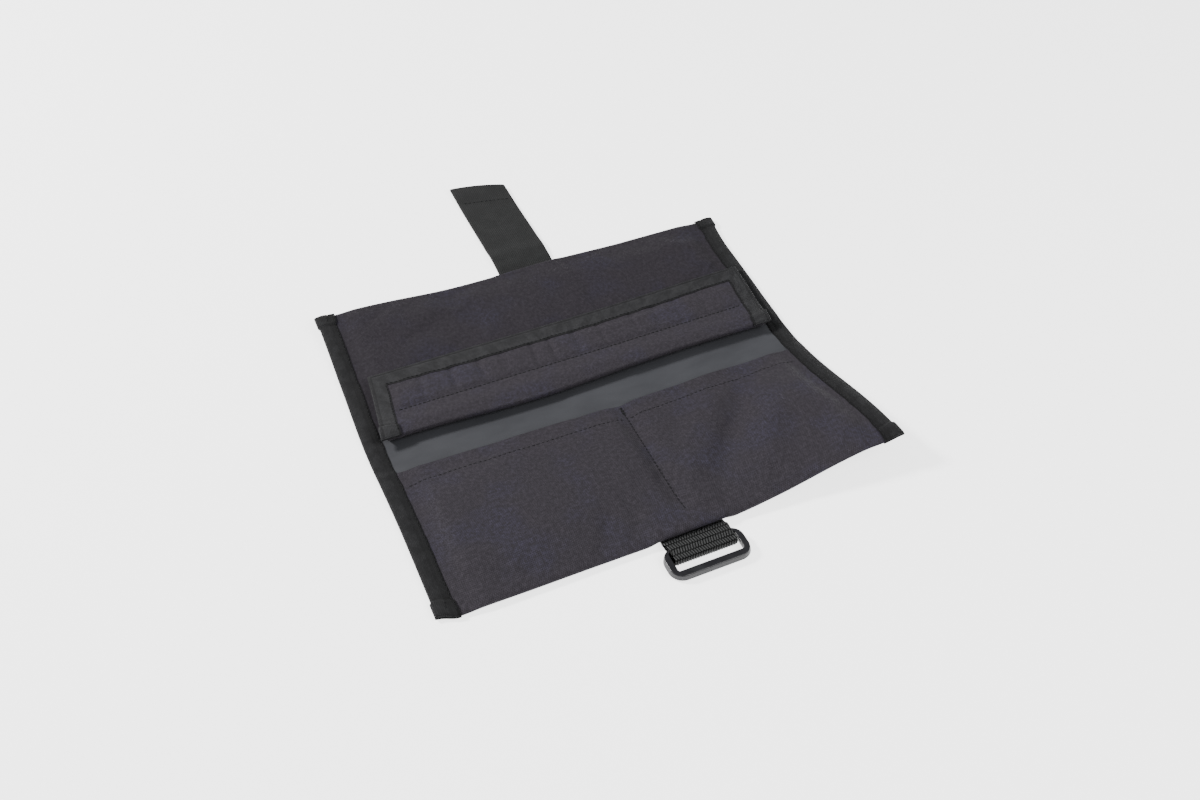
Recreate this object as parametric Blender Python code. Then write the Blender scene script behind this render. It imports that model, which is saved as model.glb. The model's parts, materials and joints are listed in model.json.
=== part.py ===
"""Fold-over fabric pouch, laid open on a table.

A shell folds in half across its middle. The front half carries a pocket split in two by a seam, and a
webbing tab that holds a rectangular ring. The rear half carries a full-width pocket under a bound flap,
and a strap that passes through the ring and folds back on itself when the pouch is packed.

+X is to the right, +Y away from the ring, +Z up. Every size below is in millimetres.
"""

import math

import bmesh
import bpy

MM = 0.001

# Outline of the laid-open pouch, and its fold line.
HALF_WIDTH = 145.0
HALF_DEPTH = 126.0
FOLD_Y = -8.0
FOLD_Z = 12.0

# Sheet thicknesses, and the clearance kept between any two separate pieces.
GAP = 0.3
CLOTH = 0.6
LINING = 0.4
WEBBING = 1.2
TAPE = 0.8
STRIP = 0.8
THREAD = 0.4

# Layers over the table: webbing, shell, lining, then the pocket panels.
SHELL_Z = WEBBING + GAP
LINING_Z = SHELL_Z + CLOTH + GAP
PINCHED_Z = LINING_Z + LINING + GAP
PUFFED_Z = PINCHED_Z + 4.3
PUFF_RUN = 6.5
TURN_RADIUS = 5.0
TURN_RISE = 0.45

# Side binding: a folded tape round both side edges.
BINDING_WIDTH = 12.5
BINDING_Z = PINCHED_Z + CLOTH + GAP
BINDING_END = 10.0
BINDING_END_RISE = 0.6
SEAM_X = HALF_WIDTH - BINDING_WIDTH - 1.5

# Pockets.
FRONT_MOUTH_Y = -19.0
REAR_MOUTH_Y = 8.0
DIVIDER_X = 7.5
HEM_DEPTH = 13.0

# Flap over the rear pocket: it turns at its front edge and closes with hook and loop.
FLAP_HALF_WIDTH = 132.0
FLAP_FRONT_Y = 1.2
FLAP_BACK_Y = 57.0
FLAP_BINDING = 11.0
LOOP_Z = PUFFED_Z + CLOTH + GAP
HOOK_Z = LOOP_Z + STRIP + GAP
FLAP_Z = HOOK_Z + STRIP + GAP
FASTENER_Y = (20.5, 44.5)
FASTENER_HALF_WIDTH = 119.0

# Webbing, strap and tab. All three are centred on STRAP_X.
STRAP_X = 5.2
STRAP_HALF_WIDTH = 19.8
STRAP_Z = 1.6
STRAP_HINGE_Y = 136.0
STRAP_FOLD_Y = 173.3
STRAP_FOLD_DROP = 4.75
STRAP_TIP_Y = 229.5
TAB_HINGE_Y = -130.0

# Ring: its inner bar sits in the tab's loop, its outer bar takes the strap.
RING_HALF_WIDTH = 25.8
RING_SIDE = 5.0
RING_BACK_Y = -136.4
RING_INNER_BAR = 4.6
RING_FRONT_Y = -158.2
RING_OUTER_BAR = 6.8
RING_THICKNESS = 3.0
LOOP_HOLE = (6.0, 4.8)
RING_Z = WEBBING + LOOP_HOLE[1] / 2
RING_BAR_Y = RING_BACK_Y - RING_INNER_BAR / 2


def clear_scene():
    for thing in list(bpy.data.objects):
        bpy.data.objects.remove(thing)


def make_material(name, colour, roughness):
    material = bpy.data.materials.new(name)
    material.use_nodes = True
    shader = material.node_tree.nodes["Principled BSDF"]
    shader.inputs["Base Color"].default_value = (*colour, 1.0)
    shader.inputs["Roughness"].default_value = roughness
    return material


def make_object(name, points, faces, material):
    """One closed body from points in millimetres, with its faces turned outward."""
    mesh = bpy.data.meshes.new(name)
    mesh.from_pydata([tuple(MM * c for c in point) for point in points], [], faces)
    body = bmesh.new()
    body.from_mesh(mesh)
    bmesh.ops.recalc_face_normals(body, faces=body.faces)
    body.to_mesh(mesh)
    body.free()
    mesh.materials.append(material)
    made = bpy.data.objects.new(name, mesh)
    bpy.context.collection.objects.link(made)
    return made


def slab(name, low, high, material):
    """The body between two equal grids of points."""
    rows, columns = len(low), len(low[0])
    points = [point for row in low for point in row] + [point for row in high for point in row]
    top = rows * columns
    faces = []
    for i in range(rows - 1):
        for j in range(columns - 1):
            a, b = i * columns + j, (i + 1) * columns + j
            faces.append((a, b, b + 1, a + 1))
            faces.append((top + a, top + a + 1, top + b + 1, top + b))
    rim = [(0, j) for j in range(columns)]
    rim += [(i, columns - 1) for i in range(1, rows)]
    rim += [(rows - 1, j) for j in range(columns - 2, -1, -1)]
    rim += [(i, 0) for i in range(rows - 2, 0, -1)]
    for (i, j), (k, m) in zip(rim, rim[1:] + rim[:1]):
        a, b = i * columns + j, k * columns + m
        faces.append((a, b, top + b, top + a))
    return make_object(name, points, faces, material)


def loft(name, rings, material, closed=False):
    """The body through a row of equal rings, capped at both ends unless it closes on itself."""
    size = len(rings[0])
    points = [point for ring in rings for point in ring]
    faces = []
    last = len(rings) if closed else len(rings) - 1
    for k in range(last):
        a, b = k * size, (k + 1) % len(rings) * size
        for j in range(size):
            n = (j + 1) % size
            faces.append((a + j, a + n, b + n, b + j))
    if not closed:
        faces.append(tuple(range(size)))
        faces.append(tuple(range(len(points) - size, len(points))))
    return make_object(name, points, faces, material)


def plate(name, x_range, y_range, z_range, material):
    grids = [[[(x, y, z) for x in x_range] for y in y_range] for z in z_range]
    return slab(name, grids[0], grids[1], material)


def thread(name, points, material):
    """A square thread laid along points, each the middle of its underside."""
    rings = []
    for k, (x, y, z) in enumerate(points):
        before, after = points[max(k - 1, 0)], points[min(k + 1, len(points) - 1)]
        dx, dy = after[0] - before[0], after[1] - before[1]
        reach = THREAD / 2 / math.hypot(dx, dy)
        side_x, side_y = -dy * reach, dx * reach
        low = [(x - side_x, y - side_y, z), (x + side_x, y + side_y, z)]
        high = [(x + side_x, y + side_y, z + THREAD), (x - side_x, y - side_y, z + THREAD)]
        rings.append(low + high)
    return loft(name, rings, material)


def smooth(share):
    t = min(max(share, 0.0), 1.0)
    return t * t * (3 - 2 * t)


def spread(start, end, step):
    """Even stations from start to end, at most step apart."""
    count = max(1, math.ceil(abs(end - start) / step))
    return [start + (end - start) * k / count for k in range(count + 1)]


def panel_z(x, y, seams, edge_y):
    """Underside of a pocket panel: pinched flat at its seams, puffed up between them."""
    rise = smooth((SEAM_X - abs(x)) / PUFF_RUN)
    for seam_x in seams:
        rise *= smooth(abs(x - seam_x) / PUFF_RUN)
    inset = abs(edge_y) - TURN_RADIUS - abs(y)
    rise *= TURN_RISE + (1 - TURN_RISE) * smooth(inset / 15.0)
    return PINCHED_Z + (PUFFED_Z - PINCHED_Z) * rise


def panel_stations(seams):
    """Positions across a panel, closer together where it rises from a seam."""
    steps = (0.0, 1.5, 3.2, 5.0, PUFF_RUN)
    stops = [-HALF_WIDTH + TAPE + GAP, HALF_WIDTH - TAPE - GAP]
    stops += [side * (SEAM_X - step) for side in (-1, 1) for step in steps]
    for seam_x in seams:
        stops += [seam_x + side * step for side in (-1, 1) for step in steps[1:]] + [seam_x]
    stops += spread(-100.0, 100.0, 40.0) if not seams else [-90.0, -45.0, 50.0, 90.0]
    return sorted(stops)


def shell(name, y_start, y_end, material):
    edge = HALF_WIDTH - TAPE - GAP
    return plate(name, (-edge, edge), (y_start, y_end), (SHELL_Z, SHELL_Z + CLOTH), material)


def lining(name, y_start, y_end, material):
    edge = HALF_WIDTH - TAPE - GAP
    return plate(name, (-edge, edge), (y_start, y_end), (LINING_Z, LINING_Z + LINING), material)


def pocket_panel(name, mouth_y, edge_y, seams, material):
    """A pocket panel that turns under at the pouch's edge and meets the shell there."""
    outward = math.copysign(1.0, edge_y)
    turn_y = edge_y - outward * TURN_RADIUS
    run = spread(mouth_y, turn_y, 26.0)[:-1] + [turn_y - outward * s for s in (14.0, 7.0, 0.0)]
    run = sorted(set(run), key=lambda y: outward * y)
    shell_middle = SHELL_Z + CLOTH / 2
    low, high = [], []
    for x in panel_stations(seams):
        inside = [(x, y, panel_z(x, y, seams, edge_y)) for y in run]
        outside = [(x, y, z + CLOTH) for x, y, z in inside]
        top_middle = inside[-1][2] + CLOTH / 2
        centre_z = (top_middle + shell_middle) / 2
        half_height = (top_middle - shell_middle) / 2
        for k in range(1, 7):
            angle = math.pi * k / 6
            for points, grow in ((inside, -CLOTH / 2), (outside, CLOTH / 2)):
                reach = (TURN_RADIUS - CLOTH / 2 + grow) * math.sin(angle)
                z = centre_z + (half_height + grow) * math.cos(angle)
                points.append((x, turn_y + outward * reach, z))
        low.append(inside)
        high.append(outside)
    return slab(name, low, high, material)


def binding_ring(side, y, rise):
    """The tape's C section round a side edge, at one station along it."""
    outer = side * HALF_WIDTH
    inner = side * (HALF_WIDTH - BINDING_WIDTH)
    wall = side * (HALF_WIDTH - TAPE)
    soft = side * 0.5
    top = BINDING_Z + TAPE + rise
    return [
        (inner, y, 0.0),
        (outer - soft, y, 0.0),
        (outer, y, 0.5),
        (outer, y, top - 0.5),
        (outer - soft, y, top),
        (inner, y, top),
        (inner, y, BINDING_Z),
        (wall, y, BINDING_Z),
        (wall, y, TAPE),
        (inner, y, TAPE),
    ]


def side_binding(name, side, y_end, y_split, material):
    """Half of one side's binding. Its outer end is folded in, so it is thicker there."""
    inward = math.copysign(1.0, y_split - y_end)
    stations = [
        (y_end, BINDING_END_RISE * 0.5),
        (y_end + inward * 1.5, BINDING_END_RISE),
        (y_end + inward * (BINDING_END - 1.0), BINDING_END_RISE),
        (y_end + inward * BINDING_END, 0.0),
        (y_split, 0.0),
    ]
    return loft(name, [binding_ring(side, y, rise) for y, rise in stations], material)


def binding_stitch(name, side, y_start, y_end, material):
    x = side * (HALF_WIDTH - BINDING_WIDTH + 1.8)
    z = BINDING_Z + TAPE + GAP
    return thread(name, [(x, y, z) for y in spread(y_start, y_end, 60.0)], material)


def hem_stitch(name, x_start, x_end, material):
    """The row of stitching that holds the turned hem of one compartment's mouth."""
    y = FRONT_MOUTH_Y - HEM_DEPTH
    stops = [x_start] + [x for x in panel_stations((DIVIDER_X,)) if x_start < x < x_end] + [x_end]
    points = []
    for x in stops:
        z = panel_z(x, y, (DIVIDER_X,), -HALF_DEPTH)
        points.append((x, y, z + CLOTH + GAP))
    return thread(name, points, material)


def divider_stitch(name, material):
    z = PINCHED_Z + CLOTH + GAP
    stops = spread(FRONT_MOUTH_Y - 1.5, -HALF_DEPTH + TURN_RADIUS + 2.0, 50.0)
    return thread(name, [(DIVIDER_X, y, z) for y in stops], material)


def flap_turn(half, grow):
    """Points of the flap's front turn as (y, z): the lower half of it, or the upper half."""
    low_middle = PINCHED_Z + CLOTH / 2
    high_middle = FLAP_Z + CLOTH / 2
    centre_z = (low_middle + high_middle) / 2
    radius_z = (high_middle - low_middle) / 2
    radius_y = 4.0 - CLOTH / 2
    centre_y = FLAP_FRONT_Y + 4.0
    clear = 0.05
    first, last = (math.pi, math.pi / 2 + clear) if half == "lower" else (math.pi / 2 - clear, 0.0)
    points = []
    for k in range(5):
        angle = first + (last - first) * k / 4
        y = centre_y - (radius_y + grow) * math.sin(angle)
        points.append((y, centre_z + (radius_z + grow) * math.cos(angle)))
    return points


def flap_base(name, material):
    """The flap's sewn-down strip, with the lower half of its front turn."""
    half_width = SEAM_X - PUFF_RUN - 0.5
    inside = [(18.0, PINCHED_Z + CLOTH)] + flap_turn("lower", -CLOTH / 2)
    outside = [(18.0, PINCHED_Z)] + flap_turn("lower", CLOTH / 2)
    low = [[(x, y, z) for y, z in outside] for x in (-half_width, half_width)]
    high = [[(x, y, z) for y, z in inside] for x in (-half_width, half_width)]
    return slab(name, low, high, material)


def flap_cloth(name, material):
    """The flap itself, from the upper half of its front turn to its bound back edge."""
    half_width = FLAP_HALF_WIDTH - TAPE - GAP
    back_y = FLAP_BACK_Y - TAPE - GAP
    inside = flap_turn("upper", -CLOTH / 2) + [(back_y, FLAP_Z)]
    outside = flap_turn("upper", CLOTH / 2) + [(back_y, FLAP_Z + CLOTH)]
    low = [[(x, y, z) for y, z in inside] for x in (-half_width, half_width)]
    high = [[(x, y, z) for y, z in outside] for x in (-half_width, half_width)]
    return slab(name, low, high, material)


def flap_path(inset):
    """The flap's bound edge, moved in by inset: up its left side, along its back, down its right side."""
    x = FLAP_HALF_WIDTH - inset
    y = FLAP_BACK_Y - inset
    front = FLAP_FRONT_Y + 5.5
    return [(-x, front), (-x, y), (x, y), (x, front)]


def flap_binding(name, material):
    """Tape folded round three sides of the flap, mitred at its two corners."""
    low = FLAP_Z - GAP - STRIP * 0.7
    under = FLAP_Z - GAP
    over = FLAP_Z + CLOTH + GAP
    high = over + STRIP * 0.7
    section = [
        (FLAP_BINDING, low),
        (0.4, low),
        (0.0, low + 0.4),
        (0.0, high - 0.4),
        (0.4, high),
        (FLAP_BINDING, high),
        (FLAP_BINDING, over),
        (TAPE, over),
        (TAPE, under),
        (FLAP_BINDING, under),
    ]
    rings = []
    for station in range(4):
        rings.append([(*flap_path(inset)[station], z) for inset, z in section])
    return loft(name, rings, material)


def flap_stitch(name, material):
    z = FLAP_Z + CLOTH + GAP + STRIP * 0.7 + GAP
    return thread(name, [(x, y, z) for x, y in flap_path(FLAP_BINDING - 1.2)], material)


def cross_stitch(name, half_width, y, z, material, middle_x=0.0):
    """A straight row of stitching from side to side."""
    return thread(name, [(middle_x - half_width, y, z), (middle_x + half_width, y, z)], material)


def fastener_strip(name, low_z, material):
    x_range = (-FASTENER_HALF_WIDTH, FASTENER_HALF_WIDTH)
    return plate(name, x_range, FASTENER_Y, (low_z, low_z + STRIP), material)


def webbing_plate(name, y_range, low_z, material, inset=0.0, thickness=WEBBING):
    reach = STRAP_HALF_WIDTH - inset
    x_range = (STRAP_X - reach, STRAP_X + reach)
    return plate(name, x_range, y_range, (low_z, low_z + thickness), material)


def rear_webbing(name, material):
    """Webbing under the rear half. Past the back edge it climbs to the strap's level."""
    profile = [(FOLD_Y + GAP, 0.0), (127.5, 0.0), (133.0, STRAP_Z), (STRAP_HINGE_Y - GAP, STRAP_Z)]
    sides = (STRAP_X - STRAP_HALF_WIDTH, STRAP_X + STRAP_HALF_WIDTH)
    low = [[(x, y, z) for x in sides] for y, z in profile]
    high = [[(x, y, z + WEBBING) for x in sides] for y, z in profile]
    return slab(name, low, high, material)


def tab_webbing(name, material):
    """The tab: webbing looped round the ring's inner bar, its two plies meeting at the tail."""
    half_length, half_height = LOOP_HOLE[0] / 2, LOOP_HOLE[1] / 2
    flat = half_length - half_height
    tail_y = TAB_HINGE_Y - GAP
    inner = [(-133.4, WEBBING + 0.1)]
    outer = [(tail_y, 0.0)]
    for k in range(9):
        angle = -math.pi / 2 + math.pi * k / 8
        back, up = math.cos(angle), math.sin(angle)
        inner.append((RING_BAR_Y - flat - half_height * back, RING_Z + half_height * up))
        reach = half_height + WEBBING
        outer.append((RING_BAR_Y - flat - reach * back, RING_Z + reach * up))
    inner += [(RING_BAR_Y + flat, RING_Z + half_height), (-133.4, WEBBING + 0.5)]
    outer += [(RING_BAR_Y + flat, RING_Z + half_height + WEBBING), (tail_y, 2 * WEBBING)]
    left, right = STRAP_X - STRAP_HALF_WIDTH, STRAP_X + STRAP_HALF_WIDTH
    rings = []
    for (inner_y, inner_z), (outer_y, outer_z) in zip(inner, outer):
        face = [(left, outer_y, outer_z), (right, outer_y, outer_z)]
        rings.append(face + [(right, inner_y, inner_z), (left, inner_y, inner_z)])
    return loft(name, rings, material, closed=True)


def rounded_rectangle(x_reach, y_back, y_front, radius):
    """A rounded rectangle's outline as (x, y), centred on STRAP_X."""
    corners = [
        (STRAP_X + x_reach - radius, y_back - radius, 0.0),
        (STRAP_X - x_reach + radius, y_back - radius, 90.0),
        (STRAP_X - x_reach + radius, y_front + radius, 180.0),
        (STRAP_X + x_reach - radius, y_front + radius, 270.0),
    ]
    outline = []
    for x, y, start in corners:
        for k in range(5):
            angle = math.radians(start + 90.0 * k / 4)
            outline.append((x + radius * math.cos(angle), y + radius * math.sin(angle)))
    return outline


def ring(name, material):
    """Rectangular ring: round inner bar for the tab, flatter frame elsewhere."""
    outer = rounded_rectangle(RING_HALF_WIDTH, RING_BACK_Y, RING_FRONT_Y, 7.5)
    slot_back = RING_BACK_Y - RING_INNER_BAR
    slot_front = RING_FRONT_Y + RING_OUTER_BAR
    inner = rounded_rectangle(RING_HALF_WIDTH - RING_SIDE, slot_back, slot_front, 2.2)
    rings = []
    for (x0, y0), (x1, y1) in zip(outer, inner):
        boxy = smooth((slot_back - (y0 + y1) / 2) / 4.0)
        section = []
        for k in range(12):
            angle = math.tau * k / 12
            power = 1.0 - 0.55 * boxy
            across = math.copysign(abs(math.cos(angle)) ** power, math.cos(angle))
            up = math.copysign(abs(math.sin(angle)) ** power, math.sin(angle))
            share = 0.5 + 0.5 * across
            z = RING_Z + RING_THICKNESS / 2 * up
            section.append((x0 + (x1 - x0) * share, y0 + (y1 - y0) * share, z))
        rings.append(section)
    made = loft(name, rings, material, closed=True)
    made.data.shade_smooth()
    made.data.set_sharp_from_angle(angle=math.radians(50))
    return made


def joint_empty(name, y, z):
    """An empty on a joint's axis, which runs across the pouch."""
    empty = bpy.data.objects.new(name, None)
    empty.empty_display_size = 0.02
    empty.location = (0.0, y * MM, z * MM)
    bpy.context.collection.objects.link(empty)
    return empty


def hang(empty, pieces):
    """Parents pieces to a joint's empty without moving them."""
    bpy.context.view_layer.update()
    for piece in pieces:
        piece.parent = empty
        piece.matrix_parent_inverse = empty.matrix_world.inverted()


def build_front_half(cloth, grey, tape, web, sewing):
    split = FOLD_Y - GAP
    turn = -HALF_DEPTH + TURN_RADIUS + GAP
    seams = (DIVIDER_X,)
    shell("front_shell", turn, split, cloth)
    lining("front_lining", turn + 2.0, split, grey)
    pocket_panel("front_pocket_panel", FRONT_MOUTH_Y, -HALF_DEPTH, seams, cloth)
    divider_stitch("divider_stitching", sewing)
    hem_stitch("left_hem_stitching", -SEAM_X + 2.0, DIVIDER_X - 2.0, sewing)
    hem_stitch("right_hem_stitching", DIVIDER_X + 2.0, SEAM_X - 2.0, sewing)
    webbing_plate("front_webbing", (TAB_HINGE_Y + GAP, split), 0.0, web)
    for side, word in ((-1, "left"), (1, "right")):
        side_binding(f"{word}_front_binding", side, -HALF_DEPTH - 0.6, split, tape)
        start = -HALF_DEPTH + BINDING_END + 1.0
        binding_stitch(f"{word}_front_binding_stitching", side, start, split, sewing)


def build_rear_half(cloth, grey, tape, web, sewing, fuzz):
    split = FOLD_Y + GAP
    turn = HALF_DEPTH - TURN_RADIUS - GAP
    pieces = [
        shell("rear_shell", split, turn, cloth),
        lining("rear_lining", split, turn - 2.0, grey),
        pocket_panel("rear_pocket_panel", REAR_MOUTH_Y, HALF_DEPTH, (), cloth),
        rear_webbing("rear_webbing", web),
        flap_base("flap_base_strip", cloth),
        cross_stitch("flap_base_stitching", 120.0, 14.0, PINCHED_Z + CLOTH + GAP, sewing),
        fastener_strip("rear_loop_strip", LOOP_Z, fuzz),
    ]
    for side, word in ((-1, "left"), (1, "right")):
        pieces.append(side_binding(f"{word}_rear_binding", side, HALF_DEPTH + 0.6, split, tape))
        end = HALF_DEPTH - BINDING_END - 1.0
        pieces.append(binding_stitch(f"{word}_rear_binding_stitching", side, split, end, sewing))
    hang(joint_empty("main_fold_axis", FOLD_Y, FOLD_Z), pieces)


def build_flap(cloth, tape, sewing, fuzz):
    pieces = [
        flap_cloth("flap", cloth),
        flap_binding("flap_binding", tape),
        flap_stitch("flap_binding_stitching", sewing),
        fastener_strip("flap_hook_strip", HOOK_Z, fuzz),
        cross_stitch("flap_hook_stitching", 119.5, FASTENER_Y[0] + 1.0, FLAP_Z + CLOTH + GAP, sewing),
    ]
    hang(joint_empty("flap_hinge_axis", FLAP_FRONT_Y, (PINCHED_Z + FLAP_Z + CLOTH) / 2), pieces)


def build_strap(web, sewing, fuzz):
    patch_z = STRAP_Z - GAP - 1.0
    strap = [
        webbing_plate("strap", (STRAP_HINGE_Y + GAP, STRAP_FOLD_Y - GAP), STRAP_Z, web),
        webbing_plate("strap_loop_patch", (140.0, 168.0), patch_z, fuzz, 2.0, 1.0),
    ]
    hang(joint_empty("strap_fold_axis", STRAP_HINGE_Y, STRAP_Z + WEBBING), strap)
    stitch_z = STRAP_Z + WEBBING + GAP
    tip = [
        webbing_plate("strap_tip", (STRAP_FOLD_Y + GAP, STRAP_TIP_Y), STRAP_Z, web),
        webbing_plate("strap_hook_patch", (183.0, 224.0), patch_z, fuzz, 2.0, 1.0),
        cross_stitch("strap_tip_stitching", 17.0, 210.0, stitch_z, sewing, STRAP_X),
    ]
    middle_z = STRAP_Z + WEBBING / 2
    hang(joint_empty("strap_tip_fold_axis", STRAP_FOLD_Y, middle_z - STRAP_FOLD_DROP), tip)


def build_tab_and_ring(web, sewing, plastic):
    stitch_z = 2 * WEBBING + 1.3 + GAP
    tab = [
        tab_webbing("ring_tab", web),
        cross_stitch("ring_tab_stitching", 17.0, -131.6, stitch_z, sewing, STRAP_X),
    ]
    hang(joint_empty("tab_fold_axis", TAB_HINGE_Y, WEBBING), tab)
    hang(joint_empty("ring_swivel_axis", RING_BAR_Y, RING_Z), [ring("rectangular_ring", plastic)])


def build():
    clear_scene()
    cloth = make_material("woven_cloth", (0.055, 0.049, 0.060), 0.9)
    grey = make_material("coated_lining", (0.079, 0.086, 0.093), 0.45)
    tape = make_material("binding_tape", (0.031, 0.036, 0.034), 0.85)
    web = make_material("webbing", (0.021, 0.023, 0.023), 0.8)
    sewing = make_material("sewing_thread", (0.012, 0.012, 0.014), 0.7)
    fuzz = make_material("hook_and_loop", (0.016, 0.016, 0.018), 0.95)
    plastic = make_material("ring_plastic", (0.018, 0.018, 0.021), 0.3)
    build_front_half(cloth, grey, tape, web, sewing)
    build_rear_half(cloth, grey, tape, web, sewing, fuzz)
    build_flap(cloth, tape, sewing, fuzz)
    build_strap(web, sewing, fuzz)
    build_tab_and_ring(web, sewing, plastic)


build()
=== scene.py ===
"""The looks of a fold-over fabric pouch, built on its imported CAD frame.

Each piece of cloth, tape or webbing starts as a Surface: a grid of points, in millimetres, for its
outer face. The grid is thickened into a closed mesh, and it also tells where the stitches go. Every
point keeps its place on the flat material in the "rest" attribute, in millimetres, and the weaves
are drawn from that.
"""

import json
import math

import bpy
import numpy as np
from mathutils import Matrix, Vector


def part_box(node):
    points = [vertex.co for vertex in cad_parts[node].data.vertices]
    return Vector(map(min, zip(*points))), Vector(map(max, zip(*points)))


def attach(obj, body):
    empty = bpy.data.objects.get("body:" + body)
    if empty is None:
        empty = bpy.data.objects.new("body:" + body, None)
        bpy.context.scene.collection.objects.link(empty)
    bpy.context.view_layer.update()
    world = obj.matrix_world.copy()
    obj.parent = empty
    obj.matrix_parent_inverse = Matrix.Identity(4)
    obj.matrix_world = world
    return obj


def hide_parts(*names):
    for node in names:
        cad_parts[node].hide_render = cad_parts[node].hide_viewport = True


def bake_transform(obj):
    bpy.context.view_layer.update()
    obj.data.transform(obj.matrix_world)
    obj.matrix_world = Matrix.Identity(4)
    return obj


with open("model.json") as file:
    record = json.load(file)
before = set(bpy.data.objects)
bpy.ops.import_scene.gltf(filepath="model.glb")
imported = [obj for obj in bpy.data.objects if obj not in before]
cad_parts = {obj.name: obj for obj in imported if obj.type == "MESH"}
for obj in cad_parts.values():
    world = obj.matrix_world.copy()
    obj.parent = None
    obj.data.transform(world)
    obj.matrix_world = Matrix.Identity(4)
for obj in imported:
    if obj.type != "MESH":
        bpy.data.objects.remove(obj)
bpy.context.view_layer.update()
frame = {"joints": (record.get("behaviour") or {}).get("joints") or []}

MM = 0.001


def low(node, axis):
    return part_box(node)[0][axis] / MM


def high(node, axis):
    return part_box(node)[1][axis] / MM


def middle(node, axis):
    return (low(node, axis) + high(node, axis)) / 2


def joint_place(name):
    """A joint's y and z, in millimetres."""
    places = {joint["name"]: joint["pos_m"] for joint in frame["joints"]}
    return places[name][1] / MM, places[name][2] / MM


# The pouch's outline and seams.
EDGE_X = high("right_front_binding", 0)
BINDING_WIDTH = EDGE_X - low("right_front_binding", 0)
BINDING_STITCH = EDGE_X - middle("right_front_binding_stitching", 0)
SEAM_X = high("right_hem_stitching", 0) + 2.0
FRONT_Y = low("front_pocket_panel", 1)
BACK_Y = high("rear_pocket_panel", 1)
TAPE_END_Y = high("right_rear_binding", 1)
FRONT_MOUTH_Y = high("front_pocket_panel", 1)
REAR_MOUTH_Y = low("rear_pocket_panel", 1)
DIVIDER_X = middle("divider_stitching", 0)
HEM_Y = middle("left_hem_stitching", 1)
FOLD_Y = joint_place("main_fold")[0]

# The flap and its fastener.
FLAP_X = high("flap_binding", 0)
FLAP_BACK_Y = high("flap_binding", 1)
FLAP_BINDING_WIDTH = FLAP_X - high("flap_hook_strip", 0) - 2.0
FLAP_BINDING_STITCH = FLAP_X - high("flap_binding_stitching", 0) + 0.2
FLAP_STITCH_Y = middle("flap_hook_stitching", 1) + 1.5
FLAP_TAIL_Y = high("flap_base_strip", 1)

# The webbing and the ring.
STRAP_X = middle("strap", 0)
STRAP_HALF_WIDTH = high("strap", 0) - STRAP_X
STRAP_TIP_Y = high("strap_tip", 1)
STRAP_Z = low("strap", 2)
STRAP_HINGE_Y = joint_place("strap_fold")[0]
STRAP_FOLD_Y = joint_place("strap_tip_fold")[0]
TAB_HINGE_Y = joint_place("tab_fold")[0]
BAR_Y, BAR_Z = joint_place("ring_swivel")

# Thicknesses, and heights over the table.
CLOTH = 0.6
LINING = 0.4
TAPE = 0.7
WEBBING = 1.2
STRIP = 0.7
SHELL_Z = TAPE + 0.1
LAYER_INSET = 1.6
TURN_REACH = 4.6
TAPE_END = 11.0
BAR_RADIUS = 1.7
FRONT_PUFF = 3.4
REAR_PUFF = 2.4
FLAP_TOP_Z = 8.1
RIGHT_CURL = 16.5
LEFT_CURL = 4.5

# Pitches of the cloth's yarns, the strap's ribs, and the tab's herringbone yarns and bands.
YARN_PITCH = 1.3
RIB_PITCH = 1.35
HERRINGBONE_PITCH = 1.65
HERRINGBONE_BAND = 3.9

# Sewing, and how long the slack cloth is left to settle between its seams.
STITCH_PITCH = 3.0
STITCH_LENGTH = 2.4
THREAD_RADIUS = 0.3
SETTLE_FRAMES = 16


# Formulas -------------------------------------


def smooth(share):
    t = np.clip(share, 0.0, 1.0)
    return t * t * (3 - 2 * t)


def bell(distance):
    return np.exp(-np.square(distance))


def ripple(x, y, length, seed):
    """Soft irregular waves of about the given length, from -1 to 1."""
    random = np.random.default_rng(seed)
    total = 0.0
    for _ in range(6):
        angle = random.uniform(0, math.pi)
        reach = length * random.uniform(0.75, 1.5)
        phase = random.uniform(0, math.tau)
        total = total + np.sin(math.tau * (x * math.cos(angle) + y * math.sin(angle)) / reach + phase)
    return total / 6


def spread(start, end, step):
    """Evenly spaced values from start to end, about a step apart."""
    return np.linspace(start, end, max(2, round(abs(end - start) / step) + 1))


def across_pouch(step):
    """Evenly spaced x for the layers that end inside the two side bindings."""
    return spread(LAYER_INSET - EDGE_X, EDGE_X - LAYER_INSET, step)


def over_node(node, step_x, step_y):
    """Evenly spaced x and y over a CAD node's box."""
    x = spread(low(node, 0), high(node, 0), step_x)
    return x, spread(low(node, 1), high(node, 1), step_y)


def travelled(path):
    """Distance along a path to each of its points."""
    return np.concatenate([[0.0], np.cumsum(np.linalg.norm(np.diff(path, axis=0), axis=1))])


def creases(x, seed):
    """Narrow puckers at irregular places along a seam."""
    random = np.random.default_rng(seed)
    total = 0.0
    for place in np.arange(-117.0, 118.0, 18.0):
        centre = place + random.uniform(-5, 5)
        total = total + random.uniform(0.4, 1.0) * bell((x - centre) / random.uniform(1.3, 2.6))
    return total


# Surfaces and meshes --------------------------


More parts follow.
